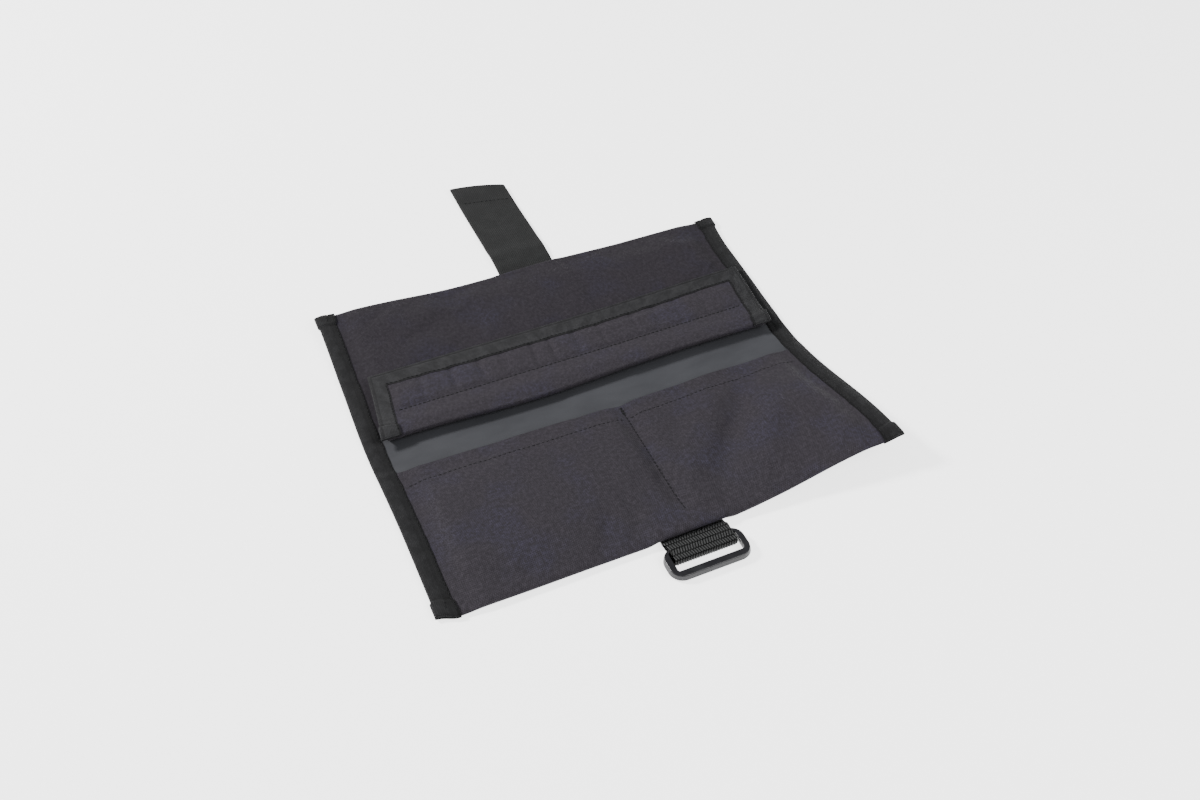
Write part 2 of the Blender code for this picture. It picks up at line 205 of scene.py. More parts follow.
class Surface:
    """A grid of points over the flat material's own coordinates u and v, all in millimetres."""

    def __init__(self, u, v, points):
        self.u = np.asarray(u, float)
        self.v = np.asarray(v, float)
        self.points = np.asarray(points, float)

    def normals(self):
        normal = np.cross(np.gradient(self.points, axis=0), np.gradient(self.points, axis=1))
        return normal / np.maximum(np.linalg.norm(normal, axis=2, keepdims=True), 1e-9)

    def at(self, u, v, height):
        """Points at u and v, raised by a height along the surface's normals."""
        i = np.interp(u, self.u, np.arange(len(self.u)))
        j = np.interp(v, self.v, np.arange(len(self.v)))
        i0 = np.minimum(i.astype(int), len(self.u) - 2)
        j0 = np.minimum(j.astype(int), len(self.v) - 2)
        past_i, past_j = (i - i0)[:, None], (j - j0)[:, None]

        def sample(grid):
            near = grid[i0, j0] * (1 - past_j) + grid[i0, j0 + 1] * past_j
            far = grid[i0 + 1, j0] * (1 - past_j) + grid[i0 + 1, j0 + 1] * past_j
            return near * (1 - past_i) + far * past_i

        return sample(self.points) + sample(self.normals()) * height


def lying(x, y, height_at):
    """A surface lying over the table, from a formula for its height."""
    grid_x, grid_y = np.meshgrid(x, y, indexing="ij")
    return Surface(x, y, np.stack([grid_x, grid_y, height_at(grid_x, grid_y)], 2))


def new_object(name, data):
    made = bpy.data.objects.new(name, data)
    bpy.context.collection.objects.link(made)
    return made


def new_mesh(name, points, faces, rest, material):
    """A smooth-shaded piece from points in millimetres."""
    mesh = bpy.data.meshes.new(name)
    mesh.from_pydata((np.asarray(points) * MM).tolist(), [], faces)
    attribute = mesh.attributes.new("rest", "FLOAT_VECTOR", "POINT")
    attribute.data.foreach_set("vector", np.asarray(rest, np.float32).ravel())
    mesh.shade_smooth()
    mesh.set_sharp_from_angle(angle=math.radians(55))
    mesh.materials.append(material)
    return new_object(name, mesh)


def grid_faces(rows, columns, start=0, flip=False):
    faces = []
    for i in range(rows - 1):
        for j in range(columns - 1):
            a = start + i * columns + j
            quad = (a, a + columns, a + columns + 1, a + 1)
            faces.append(quad[::-1] if flip else quad)
    return faces


def sheet(name, surface, thickness, material, crown=1.0):
    """A closed sheet under a surface. The crown, from 0 to 1, is kept for the material's painted light
    and shade.
    """
    inner = surface.points - surface.normals() * thickness
    rows, columns = inner.shape[:2]
    count = rows * columns
    grid_u, grid_v = np.meshgrid(surface.u, surface.v, indexing="ij")
    crown = np.broadcast_to(crown, (rows, columns))
    rest = np.stack([grid_u.ravel(), grid_v.ravel(), crown.ravel()], 1)
    points = np.concatenate([surface.points.reshape(-1, 3), inner.reshape(-1, 3)])
    faces = grid_faces(rows, columns) + grid_faces(rows, columns, count, True)
    rim = list(range(columns))
    rim += [i * columns + columns - 1 for i in range(1, rows)]
    rim += [(rows - 1) * columns + j for j in range(columns - 2, -1, -1)]
    rim += [i * columns for i in range(rows - 2, 0, -1)]
    for a, b in zip(rim, rim[1:] + rim[:1]):
        faces.append((a, b, count + b, count + a))
    return new_mesh(name, points, faces, np.concatenate([rest, rest]), material)


def settle(surface, pinned, growth, pressure, limit):
    """Lets slack cloth settle between its pinned points by simulation.

    No point moves further than the limit, or sinks towards the layers beneath.
    """
    rows, columns = surface.points.shape[:2]
    mesh = bpy.data.meshes.new("settling_cloth")
    mesh.from_pydata((surface.points.reshape(-1, 3) * MM).tolist(), [], grid_faces(rows, columns))
    cloth = new_object("settling_cloth", mesh)
    group = cloth.vertex_groups.new(name="pinned")
    group.add(np.flatnonzero(pinned.ravel()).tolist(), 1.0, "REPLACE")
    modifier = cloth.modifiers.new("Cloth", "CLOTH")
    modifier.point_cache.frame_end = SETTLE_FRAMES
    modifier.settings.quality = 6
    modifier.settings.mass = 0.2
    modifier.settings.bending_stiffness = 0.6
    modifier.settings.vertex_group_mass = "pinned"
    modifier.settings.shrink_min = -growth
    modifier.settings.use_pressure = True
    modifier.settings.uniform_pressure_force = pressure
    modifier.settings.effector_weights.gravity = 0.0
    for step in range(1, SETTLE_FRAMES + 1):
        bpy.context.scene.frame_set(step)
    settled = cloth.evaluated_get(bpy.context.evaluated_depsgraph_get()).data
    places = np.empty(rows * columns * 3)
    settled.vertices.foreach_get("co", places)
    shift = places.reshape(rows, columns, 3) / MM - surface.points
    bpy.data.objects.remove(cloth)
    bpy.context.scene.frame_set(1)
    length = np.maximum(np.linalg.norm(shift, axis=2, keepdims=True), 1e-6)
    shift = shift / length * limit * np.tanh(length / limit)
    shift[..., 2] = np.maximum(shift[..., 2], 0.0)
    return Surface(surface.u, surface.v, surface.points + shift)


def thread_mesh(name, starts, ends, ups, material):
    """Separate stitches, each a short arched thread whose ends dive into the cloth."""
    sides, rings = 6, 7
    points, rest, faces = [], [], []
    for number, (start, end, up) in enumerate(zip(starts, ends, ups)):
        across = np.cross(up, end - start)
        across = across / np.linalg.norm(across)
        base = len(points)
        for k in range(rings):
            share = k / (rings - 1)
            arch = math.sin(math.pi * share)
            centre = start + (end - start) * share + up * (0.8 * arch - 0.5) * THREAD_RADIUS
            reach = THREAD_RADIUS * (0.45 + 0.55 * arch**0.6)
            for m in range(sides):
                angle = math.tau * m / sides
                points.append(centre + (across * math.cos(angle) + up * math.sin(angle)) * reach)
                # The arch, kept as the crown, sets the painted shade where the thread dives into the
                # cloth.
                rest.append(((number + share) * STITCH_PITCH, angle, arch))
        for k in range(rings - 1):
            for m in range(sides):
                a, b = base + k * sides + m, base + k * sides + (m + 1) % sides
                faces.append((a, b, b + sides, a + sides))
        faces.append([base + m for m in reversed(range(sides))])
        faces.append([base + (rings - 1) * sides + m for m in range(sides)])
    return new_mesh(name, points, faces, rest, material)


def seam(name, surface, paths, material, height=0.02):
    """Rows of stitches along paths of (u, v) points on a surface."""
    starts, ends, ups = [], [], []
    for path in paths:
        path = np.asarray(path, float)
        along = travelled(path)
        heads = np.arange(STITCH_PITCH * 0.3, along[-1] - STITCH_LENGTH, STITCH_PITCH)
        u, v = [np.interp(heads, along, path[:, axis]) for axis in (0, 1)]
        tail_u, tail_v = [np.interp(heads + STITCH_LENGTH, along, path[:, axis]) for axis in (0, 1)]
        starts.append(surface.at(u, v, height))
        ends.append(surface.at(tail_u, tail_v, height))
        ups.append(surface.at(u, v, height + 1.0) - starts[-1])
    return thread_mesh(name, np.concatenate(starts), np.concatenate(ends), np.concatenate(ups), material)


# The pouch laid open --------------------------


def lay(surface):
    """A surface moved to where the loose cloth really lies.

    It is drawn in at the right of the fold and bowed out at the left. Its front edge stands full, and
    its back edge hangs slack, most at the right.
    """
    x, y, z = np.moveaxis(surface.points, 2, 0)
    left = smooth((-x - 10) / (EDGE_X - 10))
    right = smooth((x - 10) / (EDGE_X - 10))
    bowed = 0.8 * smooth((y - 60) / 60) - 1.8 * bell((y - 5) / 45)
    drawn = 3.2 * smooth((y - 85) / 45) - 5.0 * bell((y + 10) / 75)
    fuller = (4.4 - 3.2 * smooth((x - 10) / 110)) * (1 - 0.85 * smooth((np.abs(x) - SEAM_X - 2) / 12))
    slack = 2.2 * bell((x + 25) / 45) + 3.4 * smooth((x - 5) / 70)
    moved_x = x + left * bowed + right * drawn
    moved_y = y - fuller * smooth((FRONT_Y + 30 - y) / 30) - slack * smooth((y - BACK_Y + 30) / 30)
    return Surface(surface.u, surface.v, np.stack([moved_x, moved_y, z], 2))


def lay_flap(surface):
    """The flap's surface moved to where it really lies: askew, its bound edge drawn out backwards."""
    x, y, z = np.moveaxis(surface.points, 2, 0)
    moved_x = x + 0.12 * (y - FLAP_BACK_Y / 2)
    moved_y = y + smooth(y / FLAP_BACK_Y) * (3.0 * smooth(x / FLAP_X) - 1.4)
    moved_y = moved_y + 3.0 * smooth((y - FLAP_BACK_Y + 21) / 20)
    return Surface(surface.u, surface.v, np.stack([moved_x, moved_y, z], 2))


def curl(x, y):
    """How far the cloth lifts off the table: most at its front right corner, less at its back left."""
    right = smooth((x - 15) / (EDGE_X - 15)) * smooth((2 - y) / (2 - FRONT_Y))
    left = smooth((-x - 50) / (EDGE_X - 50)) * smooth((y - 55) / (BACK_Y - 55))
    return RIGHT_CURL * right**1.25 + LEFT_CURL * left


def shell_z(x, y):
    """Underside of the shell, which rises over the webbing beneath it."""
    over = smooth((STRAP_HALF_WIDTH + 8 - np.abs(x - STRAP_X)) / 8)
    second_ply = smooth((FRONT_Y + 24 - y) / 12)
    return SHELL_Z + over * (WEBBING - SHELL_Z + 0.1 + (WEBBING + 0.1) * second_ply) + curl(x, y)


def shell_top_z(x, y):
    return shell_z(x, y) + CLOTH


def lining_z(x, y):
    """Upper face of the lining."""
    waves = 0.3 * (1 + ripple(x, y * 2, 70.0, 3)) * smooth((SEAM_X - np.abs(x)) / 25)
    return shell_top_z(x, y) + LINING + 0.2 + waves


def sewn_down_z(x, y):
    """Upper face of a pocket where it is sewn flat."""
    return lining_z(x, y) + CLOTH + 0.1


def front_pocket_z(x, y):
    """Upper face of the front pocket, soft between its side seams and its divider."""
    side = smooth((SEAM_X - np.abs(x)) / 13)
    stitched = smooth((y - FRONT_Y - 6) / 14)
    divide = 1 - stitched * (1 - smooth(np.abs(x - DIVIDER_X) / 11) ** 0.8)
    mouth = 1 - 0.5 * smooth((y - FRONT_MOUTH_Y + 34) / 34)
    front = 0.55 + 0.45 * smooth((y - FRONT_Y - TURN_REACH) / 26)
    puff = FRONT_PUFF * side * divide * mouth * front
    # A slack valley runs across the right compartment, with the cloth standing up on both sides of it.
    across = (x - 66) * 0.76 - (y + 70) * 0.65
    along = (x - 66) * 0.65 + (y + 70) * 0.76
    valley = -2.8 * bell(across / 8) * bell(along / 44)
    shoulders = (3.0 * bell((across - 21) / 12) + 1.3 * bell((across + 19) / 12)) * bell(along / 44)
    dent = -1.5 * bell((x - 115) / 9) * bell((y + 92) / 13)
    swell = 1.2 * bell((x + 70) / 40) * bell((y + 78) / 26)
    waves = 0.5 * ripple(x, y, 58.0, 11) + 0.16 * ripple(x, y, 19.0, 12)
    hem = -0.2 * bell((y - HEM_Y) / 1.6)
    pulls = -0.4 * bell((np.abs(x - DIVIDER_X) - 5) / 5) * ripple(0, y, 21.0, 13)
    soft = side * (0.3 + 0.7 * divide) * (valley + shoulders + dent + swell + waves + hem + pulls)
    height = puff + soft
    return sewn_down_z(x, y) + 0.5 * (height + np.sqrt(height * height + 0.02))


def rear_pocket_z(x, y):
    """Upper face of the rear pocket, level under the flap and gently swollen behind it."""
    side = smooth((SEAM_X - np.abs(x)) / 13)
    back = 0.5 + 0.5 * smooth((BACK_Y - TURN_REACH - y) / 24)
    behind_flap = smooth((y - FLAP_BACK_Y - 2) / 16)
    waves = 0.4 * ripple(x, y, 75.0, 21) + 0.12 * ripple(x, y, 22.0, 22)
    swell = 0.7 * bell((x - 78) / 38) * bell((y - 92) / 22)
    hollow = -0.6 * bell((x + 100) / 26) * bell((y - 92) / 17)
    soft = side * behind_flap * (waves + swell + hollow)
    return sewn_down_z(x, y) + np.maximum(REAR_PUFF * side * back + soft, 0.0)


def flap_z(x, y):
    """Upper face of the flap: a soft roll behind its fold, then quilted between its two stitch rows."""
    roll = 1.9 * bell((y - 9) / 8.5) * (1 + 0.18 * ripple(x, 0, 80.0, 31))
    tape_y = FLAP_BACK_Y - FLAP_BINDING_WIDTH - 1.2
    quilted = smooth((y - FLAP_STITCH_Y) / 5) * smooth((tape_y - y) / 6)
    short = smooth((y - FLAP_STITCH_Y + 2) / 12) * smooth((tape_y + 2 - y) / 4)
    puckers = quilted * (0.9 + 0.4 * ripple(x, y * 0.25, 24.0, 32))
    puckers = puckers - 1.3 * short * creases(x + y / 12, 34)
    pinched = smooth((FLAP_STITCH_Y - y) / 3) * smooth((y - 8) / 10)
    dents = pinched * (0.35 * ripple(x, y, 34.0, 33) - 0.35 * creases(x, 35))
    groove = -0.4 * bell((y - FLAP_STITCH_Y) / 1.6)
    inside = smooth((FLAP_X - FLAP_BINDING_WIDTH - np.abs(x)) / 6)
    return FLAP_TOP_Z + roll + inside * (puckers + dents + groove) - 0.5 * smooth((y - 40) / 17)


# Materials ------------------------------------

CHARCOAL = (0.043, 0.038, 0.046)
BLUISH = (0.043, 0.039, 0.059)
GREY = (0.043, 0.044, 0.049)
TAPE_BLACK = (0.0240, 0.0240, 0.0255)
WEB_BLACK = (0.019, 0.0195, 0.0195)
THREAD_BLACK = (0.010, 0.010, 0.011)
PLASTIC_BLACK = (0.009, 0.009, 0.0105)


def shade(colour, factor):
    return tuple(channel * factor for channel in colour)


class Look:
    """Short calls for building one material's nodes. Lengths are in millimetres on the flat material."""

    def __init__(self, name):
        self.material = bpy.data.materials.new(name)
        self.material.use_nodes = True
        self.tree = self.material.node_tree
        self.shader = self.tree.nodes["Principled BSDF"]
        attribute = self.add("ShaderNodeAttribute", attribute_name="rest")
        self.rest = attribute.outputs["Vector"]
        split = self.add("ShaderNodeSeparateXYZ")
        self.join(self.rest, split.inputs[0])
        # The crown, the third rest value, sets the painted light and shade of the tapes, the tab's yarns
        # and the stitches.
        self.u, self.v, self.crown = split.outputs

    def add(self, kind, **settings):
        node = self.tree.nodes.new(kind)
        for key, value in settings.items():
            setattr(node, key, value)
        return node

    def join(self, source, target):
        """Links a socket to an input, or sets the input to a number or a colour."""
        if isinstance(source, bpy.types.NodeSocket):
            self.tree.links.new(source, target)
        elif isinstance(source, tuple):
            target.default_value = (*source, 1.0)
        else:
            target.default_value = source

    def math(self, operation, *values):
        node = self.add("ShaderNodeMath", operation=operation)
        for value, target in zip(values, node.inputs):
            self.join(value, target)
        return node.outputs[0]

    def total(self, *terms):
        """The sum of (value, weight) pairs."""
        result = 0.0
        for value, weight in terms:
            result = self.math("MULTIPLY_ADD", value, weight, result)
        return result

    def wave(self, position, pitch):
        return self.math("SINE", self.math("MULTIPLY", position, math.tau / pitch))

    def noise(self, size, detail=2.0, roughness=0.5, stretch=(1.0, 1.0)):
        """Noise from 0 to 1, with features of about the given size."""
        mapping = self.add("ShaderNodeMapping")
        mapping.inputs["Scale"].default_value = (stretch[0] / size, stretch[1] / size, 0.0)
        self.join(self.rest, mapping.inputs["Vector"])
        noise = self.add("ShaderNodeTexNoise")
        noise.inputs["Scale"].default_value = 1.0
        noise.inputs["Detail"].default_value = detail
        noise.inputs["Roughness"].default_value = roughness
        self.join(mapping.outputs[0], noise.inputs["Vector"])
        return noise.outputs["Fac"]

    def ramp(self, value, start, end):
        node = self.add("ShaderNodeMapRange", interpolation_type="SMOOTHSTEP")
        for source, target in zip((value, start, end), node.inputs):
            self.join(source, target)
        return node.outputs[0]

    def mix(self, share, first, second):
        node = self.add("ShaderNodeMix", data_type="RGBA")
        colours = [socket for socket in node.inputs if socket.type == "RGBA"]
        self.join(share, node.inputs["Factor"])
        self.join(first, colours[0])
        self.join(second, colours[1])
        return next(socket for socket in node.outputs if socket.type == "RGBA")

    def finish(self, colour, roughness, relief, depth, sheen=0.0, specular=0.3):
        """Sets the shader's colour, roughness and bump, and hands over the material."""
        self.join(colour, self.shader.inputs["Base Color"])
        self.join(roughness, self.shader.inputs["Roughness"])
        self.join(specular, self.shader.inputs["Specular IOR Level"])
        self.join(sheen, self.shader.inputs["Sheen Weight"])
        self.join(0.45, self.shader.inputs["Sheen Roughness"])
        bump = self.add("ShaderNodeBump")
        self.join(depth * MM, bump.inputs["Distance"])
        self.join(relief, bump.inputs["Height"])
        self.join(bump.outputs[0], self.shader.inputs["Normal"])
        return self.material


def woven_cloth(name, tone):
    """Plain-woven polyester: fine crossed yarns, slubs, broad patches with a bluish cast, and painted
    shade in the gaps between the yarns.
    """
    look = Look(name)
    yarns = look.math("MULTIPLY", look.wave(look.u, YARN_PITCH), look.wave(look.v, YARN_PITCH))
    slub_u = look.noise(1.0, 2.0, 0.6, (0.25, 2.2))
    slub_v = look.noise(1.0, 2.0, 0.6, (2.2, 0.25))
    relief = look.total((yarns, 0.35), (slub_u, 1.0), (slub_v, 1.0))
    grain = look.noise(2.4, 3.0, 0.75)
    broad = look.ramp(look.noise(34.0), 0.46, 0.66)
    base = look.mix(broad, shade(CHARCOAL, tone), shade(BLUISH, tone))
    worn = look.mix(look.ramp(grain, 0.32, 0.68), shade(CHARCOAL, 0.6 * tone), base)
    # Painted shade: the cloth is darker where its yarns and slubs lie low.
    colour = look.mix(look.ramp(relief, 0.45, 1.4), shade(CHARCOAL, 0.4 * tone), worn)
    roughness = look.total((grain, 0.12), (1.0, 0.8))
    return look.finish(colour, roughness, relief, 0.14, sheen=0.04 * tone, specular=0.12 * tone)


def coated_lining():
    """The cloth's coated face: satin, with a trace of the yarns beneath."""
    look = Look("coated_lining_look")
    yarns = look.math("MULTIPLY", look.wave(look.u, YARN_PITCH), look.wave(look.v, YARN_PITCH))
    soft = look.noise(26.0, 3.0, 0.55, (0.6, 1.6))
    fine = look.noise(0.9)
    relief = look.total((yarns, 0.15), (soft, 2.0), (fine, 1.0))
    colour = look.mix(look.ramp(soft, 0.3, 0.7), shade(GREY, 0.88), shade(GREY, 1.08))
    roughness = look.total((fine, 0.12), (1.0, 0.42))
    return look.finish(colour, roughness, relief, 0.05, specular=0.25)


def binding_tape(name, tone):
    """Grosgrain tape: fine ribs across its width with painted shade between them, worn patches, and the
    crown's painted shade in its creases, along its inner edge and at its ends.
    """
    look = Look(name)
    fuzz = look.noise(0.8, 3.0, 0.7)
    relief = look.total((look.wave(look.u, 0.75), 0.4), (look.wave(look.v, 0.9), 0.25), (fuzz, 1.0))
    patches = look.ramp(look.noise(7.0, 3.0, 0.7), 0.35, 0.65)
    worn = look.mix(patches, shade(TAPE_BLACK, 0.65 * tone), shade(TAPE_BLACK, 1.25 * tone))
    # Painted shade between the ribs.
    rib_shaded = look.mix(look.ramp(relief, 0.0, 0.9), shade(TAPE_BLACK, 0.45 * tone), worn)
    # Painted shade from the crown: in the crease, along the stitched inner edge and where the ends turn.
    colour = look.mix(look.ramp(look.crown, -0.2, 1.0), shade(TAPE_BLACK, 0.2), rib_shaded)
    roughness = look.total((fuzz, 0.15), (1.0, 0.78))
    return look.finish(colour, roughness, relief, 0.16, sheen=0.04, specular=0.15)


def strap_webbing():
    """Close-woven webbing: fine lengthwise ribs crossed by the weft."""
    look = Look("strap_webbing_look")
    warp = look.wave(look.u, RIB_PITCH)
    crossed = look.math("MULTIPLY", warp, look.wave(look.v, 0.95))
    fuzz = look.noise(0.8, 3.0, 0.75)
    relief = look.total((crossed, 0.3), (warp, 0.4), (fuzz, 1.0))
    patches = look.ramp(look.noise(11.0, 3.0, 0.6), 0.3, 0.75)
    base = look.mix(patches, shade(WEB_BLACK, 0.85), shade(WEB_BLACK, 1.4))
    # Painted shade in the low gaps between the ribs and the weft.
    colour = look.mix(look.ramp(relief, 0.1, 1.0), shade(WEB_BLACK, 0.45), base)
    roughness = look.total((fuzz, 0.15), (1.0, 0.7))
    return look.finish(colour, roughness, relief, 0.2, sheen=0.04, specular=0.2)


def tab_webbing():
    """Heavy webbing: glossy filament yarns, with a painted highlight on their crowns and painted shade
    in the gaps between them.
    """
    look = Look("tab_webbing_look")
    fuzz = look.noise(0.35, 3.0, 0.7)
    relief = look.total((look.wave(look.v, 0.21), 0.3), (fuzz, 1.0))
    # Painted shade in the gaps between the yarns and a painted highlight on their crowns.
    colour = look.mix(look.ramp(look.crown, 0.35, 0.95), shade(WEB_BLACK, 0.08), shade(WEB_BLACK, 1.7))
    roughness = look.total((fuzz, 0.2), (1.0, 0.42))
    return look.finish(colour, roughness, relief, 0.07, specular=look.math("MULTIPLY", look.crown, 0.35))


def sewing_thread(name, colour):
    """Twisted thread: fine slanting plies with painted light on them, and painted shade where a stitch
    dives into the cloth.
    """
    look = Look(name)
    ply = look.wave(look.total((look.v, 0.12), (look.u, 1.0)), 0.45)
    lit = look.mix(look.ramp(ply, -1.0, 1.0), shade(colour, 0.7), shade(colour, 1.4))
    # Painted shade where the stitch dives into the cloth.
    shaded = look.mix(look.ramp(look.crown, 0.0, 0.6), shade(colour, 0.3), lit)
    roughness = look.total((look.ramp(ply, -1.0, 1.0), 0.15), (1.0, 0.55))
    return look.finish(shaded, roughness, ply, 0.05, specular=0.2)


def hook_and_loop(name, tufts, gloss):
    """Fastener tape: rows of hooks or loops standing on a woven ground."""
    look = Look(name)
    rows = look.math("MULTIPLY", look.wave(look.u, 1.6), look.wave(look.v, 1.3))
    pile = look.noise(0.45, 4.0, 0.8)
    relief = look.total((rows, 0.4), (pile, tufts))
    # Painted shade between the hooks or loops, and painted light on their tops.
    colour = look.mix(look.ramp(relief, 0.1, 0.8), shade(THREAD_BLACK, 0.5), shade(THREAD_BLACK, 2.4))
    roughness = look.total((pile, 0.2), (1.0, gloss))
    return look.finish(colour, roughness, relief, 0.4, sheen=0.2)


def ring_plastic():
    """Moulded plastic: semi-gloss, finely grained, rubbed smoother in patches."""
    look = Look("ring_plastic_look")
    rubbed = look.ramp(look.noise(7.0, 3.0), 0.35, 0.7)
    colour = look.mix(rubbed, PLASTIC_BLACK, shade(PLASTIC_BLACK, 1.5))
    roughness = look.total((rubbed, 0.14), (1.0, 0.26))
    return look.finish(colour, roughness, look.noise(0.5), 0.02, specular=0.42)


def floor_paint():
    """Pale matt floor with a faint mottle, lit from within like a light table."""
    look = Look("floor_look")
    cloud = look.noise(400.0)
    colour = look.mix(cloud, (0.88, 0.88, 0.885), (0.91, 0.91, 0.91))
    look.join((1.0, 1.0, 1.0), look.shader.inputs["Emission Color"])
    look.join(2.2, look.shader.inputs["Emission Strength"])
    return look.finish(colour, 0.9, cloud, 0.01, specular=0.1)


# Hiding the CAD nodes, and baking the pieces' transforms ---------


def dress(piece, slot, *nodes):
    """Hides the CAD nodes that a piece stands for, and hands the piece back. The slot is not used."""
    if nodes:
        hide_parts(*nodes)
    return piece


def across_joint(piece, start_y):
    """Bakes a piece's transform into its mesh. The start y is not used."""
    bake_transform(piece)


def over_main_fold(piece):
    """Hands across_joint a y just before the fold's axis; the piece's transform is only baked."""
    across_joint(piece, FOLD_Y - 7)


# The pouch's body -----------------------------


def build_shell(cloth):
    y = spread(FRONT_Y + TURN_REACH, BACK_Y - TURN_REACH, 3.0)
    piece = sheet("outer_shell", lay(lying(across_pouch(4.0), y, shell_top_z)), CLOTH, cloth)
    over_main_fold(dress(piece, "woven_cloth", "front_shell", "rear_shell"))


def build_lining(grey):
    y = spread(FRONT_Y + 2 * TURN_REACH, BACK_Y - 2 * TURN_REACH, 2.0)
    piece = sheet("inner_lining", lay(lying(across_pouch(4.0), y, lining_z)), LINING, grey)
    over_main_fold(dress(piece, "coated_lining", "front_lining", "rear_lining"))


def mouth_bow(x, y):
    """How far the front pocket's mouth sags towards the front, most between its ends."""
    sag = 2.4 + 4.0 * np.clip(1 - (x / SEAM_X) ** 2, 0, 1) + 1.5 * smooth(x / SEAM_X)
    return sag * smooth((y - FRONT_MOUTH_Y + 55) / 55)


def pocket_surface(height_at, bow_at, mouth_y, edge_y):
    """A pocket's outer face, from its mouth to its outer edge and round that edge to the shell."""
    outward = math.copysign(1.0, edge_y)
    turn_y = edge_y - outward * TURN_REACH
    x, y = across_pouch(2.2), spread(mouth_y, turn_y, 2.2)
    grid_x, grid_y = np.meshgrid(x, y, indexing="ij")
    bowed_y = grid_y - bow_at(grid_x, grid_y)
    rows = [np.stack([grid_x, bowed_y, height_at(grid_x, bowed_y)], 2)]
    top, bottom = height_at(x, turn_y), shell_z(x, turn_y)
    angles = np.linspace(0, math.pi, 12)[1:]
    for angle in angles:
        reach = TURN_REACH * (1 + 0.05 * ripple(x, 0, 60.0, 41)) * math.sin(angle) ** 0.8
        z = (top + bottom) / 2 + (top - bottom) / 2 * math.cos(angle)
        rows.append(np.stack([x, turn_y + outward * reach, z], 1)[:, None])
    v = np.concatenate([y, turn_y + outward * angles * 2.6])
    points = np.concatenate(rows, 1)
    if outward < 0:
        return Surface(x, v[::-1], points[:, ::-1])
    return Surface(x, v, points)


def hem_thickness(surface, mouth_y, depth):
    """Thickness of a pocket's cloth, which is turned double in the hem at its mouth."""
    hem = smooth((depth + 1 - np.abs(surface.v - mouth_y)) / 1.5)
    return (CLOTH * (1 + 0.8 * hem))[None, :, None]


def build_front_pocket(cloth, thread, hem_thread):
    surface = pocket_surface(front_pocket_z, mouth_bow, FRONT_MOUTH_Y, FRONT_Y)
    grid_x, grid_v = np.meshgrid(surface.u, surface.v, indexing="ij")
    pinned = (np.abs(grid_x) > SEAM_X - 1.5) | (np.abs(grid_x - DIVIDER_X) < 1.6)
    pinned |= grid_v < FRONT_Y + TURN_REACH + 1.0
    surface = lay(settle(surface, pinned, growth=0.012, pressure=0.6, limit=1.2))
    hem = hem_thickness(surface, FRONT_MOUTH_Y, FRONT_MOUTH_Y - HEM_Y)
    piece = sheet("front_pocket", surface, hem, cloth)
    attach(dress(piece, "woven_cloth", "front_pocket_panel"), "front_half")
    zigzag = [(DIVIDER_X + 1.2 * (-1) ** k, FRONT_MOUTH_Y - 9.0 + 0.45 * k) for k in range(18)]
    divider = [(DIVIDER_X, FRONT_Y + 12), (DIVIDER_X, FRONT_MOUTH_Y - 1.5)]
    rows = {
        "divider": ([divider, zigzag], thread, 0.14),
        "left_hem": ([[(-SEAM_X, HEM_Y), (DIVIDER_X - 1, HEM_Y)]], hem_thread, 0.02),
        "right_hem": ([[(DIVIDER_X + 1, HEM_Y), (SEAM_X, HEM_Y)]], hem_thread, 0.02),
    }
    for name, (paths, material, height) in rows.items():
        piece = seam(f"{name}_stitches", surface, paths, material, height)
        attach(dress(piece, "sewing_thread", f"{name}_stitching"), "front_half")


def build_rear_pocket(cloth, loops):
    surface = pocket_surface(rear_pocket_z, lambda x, y: 0 * x, REAR_MOUTH_Y, BACK_Y)
    grid_x, grid_v = np.meshgrid(surface.u, surface.v, indexing="ij")
    pinned = (np.abs(grid_x) > SEAM_X - 1.5) | (grid_v > BACK_Y - TURN_REACH - 1.0)
    pinned |= grid_v < FLAP_BACK_Y + 2
    surface = lay(settle(surface, pinned, growth=0.01, pressure=0.4, limit=1.0))
    piece = sheet("rear_pocket", surface, hem_thickness(surface, REAR_MOUTH_Y, 11.0), cloth)
    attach(dress(piece, "woven_cloth", "rear_pocket_panel"), "rear_half")
    x, y = over_node("rear_loop_strip", 4.0, 3.0)
    strip = lying(x, y, lambda x, y: rear_pocket_z(x, y) + STRIP + 0.05)
    piece = sheet("loop_strip", lay(strip), STRIP, loops)
    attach(dress(piece, "hook_and_loop", "rear_loop_strip"), "rear_half")


# Binding --------------------------------------


def tape_section():
    """A folded tape's section: (share of its width from the edge, side from -1 under to 1 on top)."""
    section = [(share, -1.0) for share in np.linspace(1, 0, 7)[:-1]]
    section += [(0.0, math.sin(turn)) for turn in np.linspace(-math.pi / 2, math.pi / 2, 9)]
    return section + [(share, 1.0) for share in np.linspace(0, 1, 22)[1:]]


